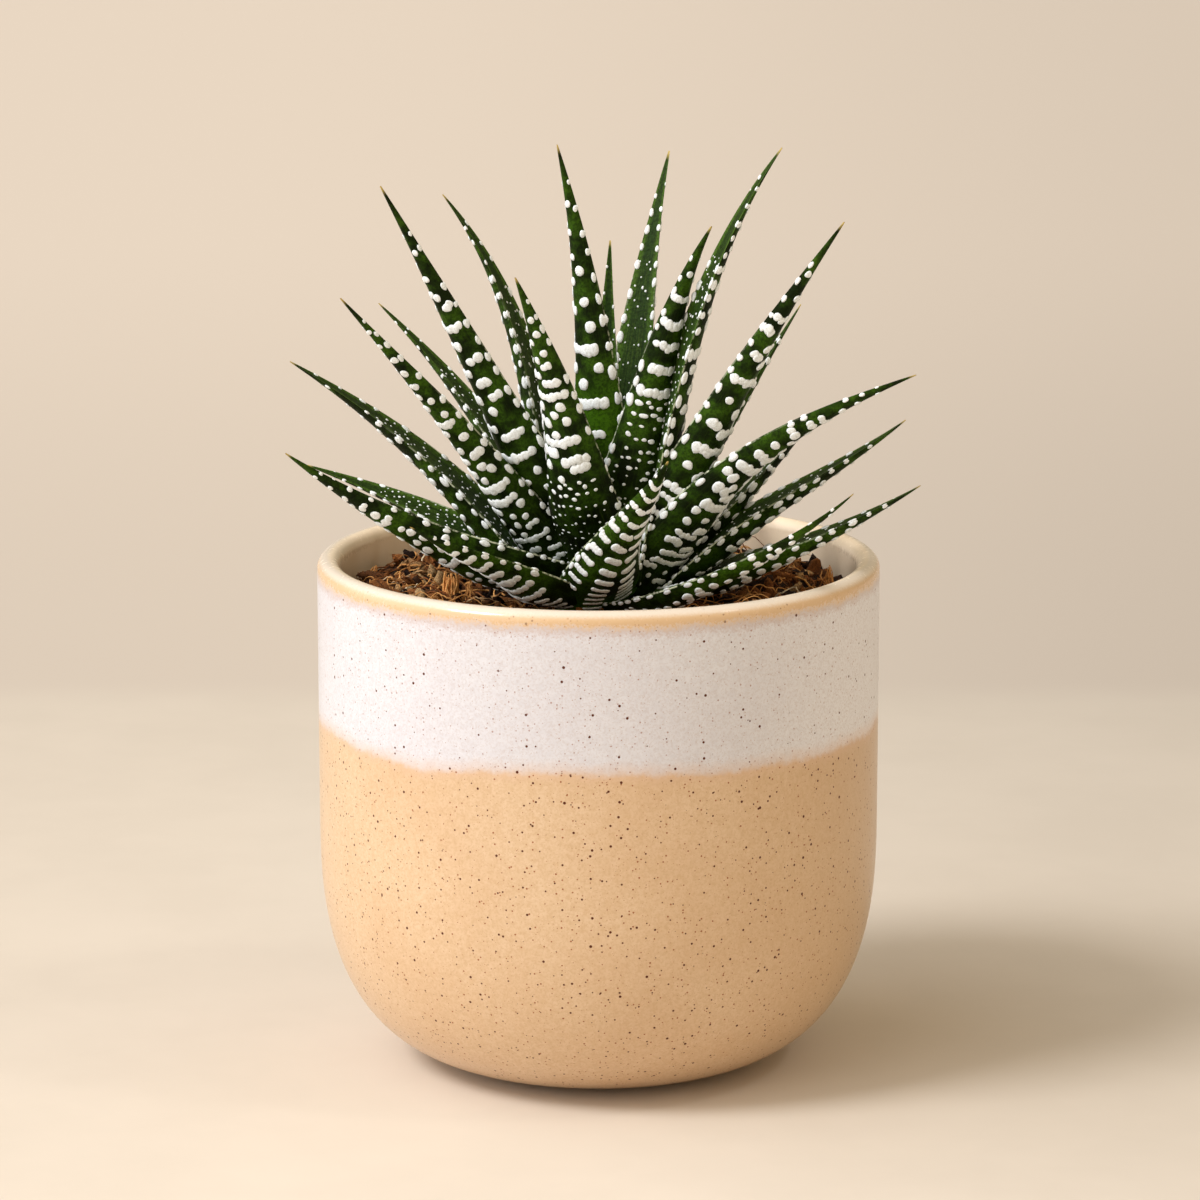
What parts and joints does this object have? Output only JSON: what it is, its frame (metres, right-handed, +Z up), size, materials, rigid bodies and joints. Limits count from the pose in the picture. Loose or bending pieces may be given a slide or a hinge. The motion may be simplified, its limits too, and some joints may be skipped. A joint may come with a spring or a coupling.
{
  "type": "potted haworthia",
  "caption": "Zebra-striped succulent rosette of stiff pointed leaves with raised white warts, rooted in coarse soil in a round two-tone speckled stoneware pot.",
  "frame": {"origin": "centre of the pot's flat underside, on the surface it stands on", "axes": "+Z up along the pot's axis, -Y towards the viewer of the picture, +X to the right"},
  "size_m": [0.1095, 0.1, 0.168],
  "materials": {
    "stoneware": "satin speckled glaze, white above, honey tan below",
    "soil": "matte, coarse coir and bark",
    "crown": "matte",
    "leaf": "waxy satin green with raised white warts"
  },
  "bodies": {
    "root": {"pot": "stoneware", "soil": "soil", "crown": "crown", "leaf_01": "leaf", "leaf_02": "leaf", "leaf_03": "leaf", "leaf_04": "leaf", "leaf_05": "leaf", "leaf_06": "leaf", "leaf_07": "leaf", "leaf_08": "leaf", "leaf_09": "leaf", "leaf_10": "leaf", "leaf_11": "leaf", "leaf_12": "leaf", "leaf_13": "leaf", "leaf_14": "leaf", "leaf_15": "leaf", "leaf_16": "leaf", "leaf_17": "leaf", "leaf_18": "leaf", "leaf_19": "leaf", "leaf_20": "leaf", "leaf_21": "leaf", "leaf_22": "leaf", "leaf_23": "leaf", "leaf_24": "leaf", "leaf_25": "leaf", "leaf_26": "leaf", "leaf_27": "leaf", "leaf_28": "leaf", "leaf_29": "leaf", "leaf_30": "leaf", "leaf_31": "leaf", "leaf_32": "leaf"}
  },
  "joints": []
}
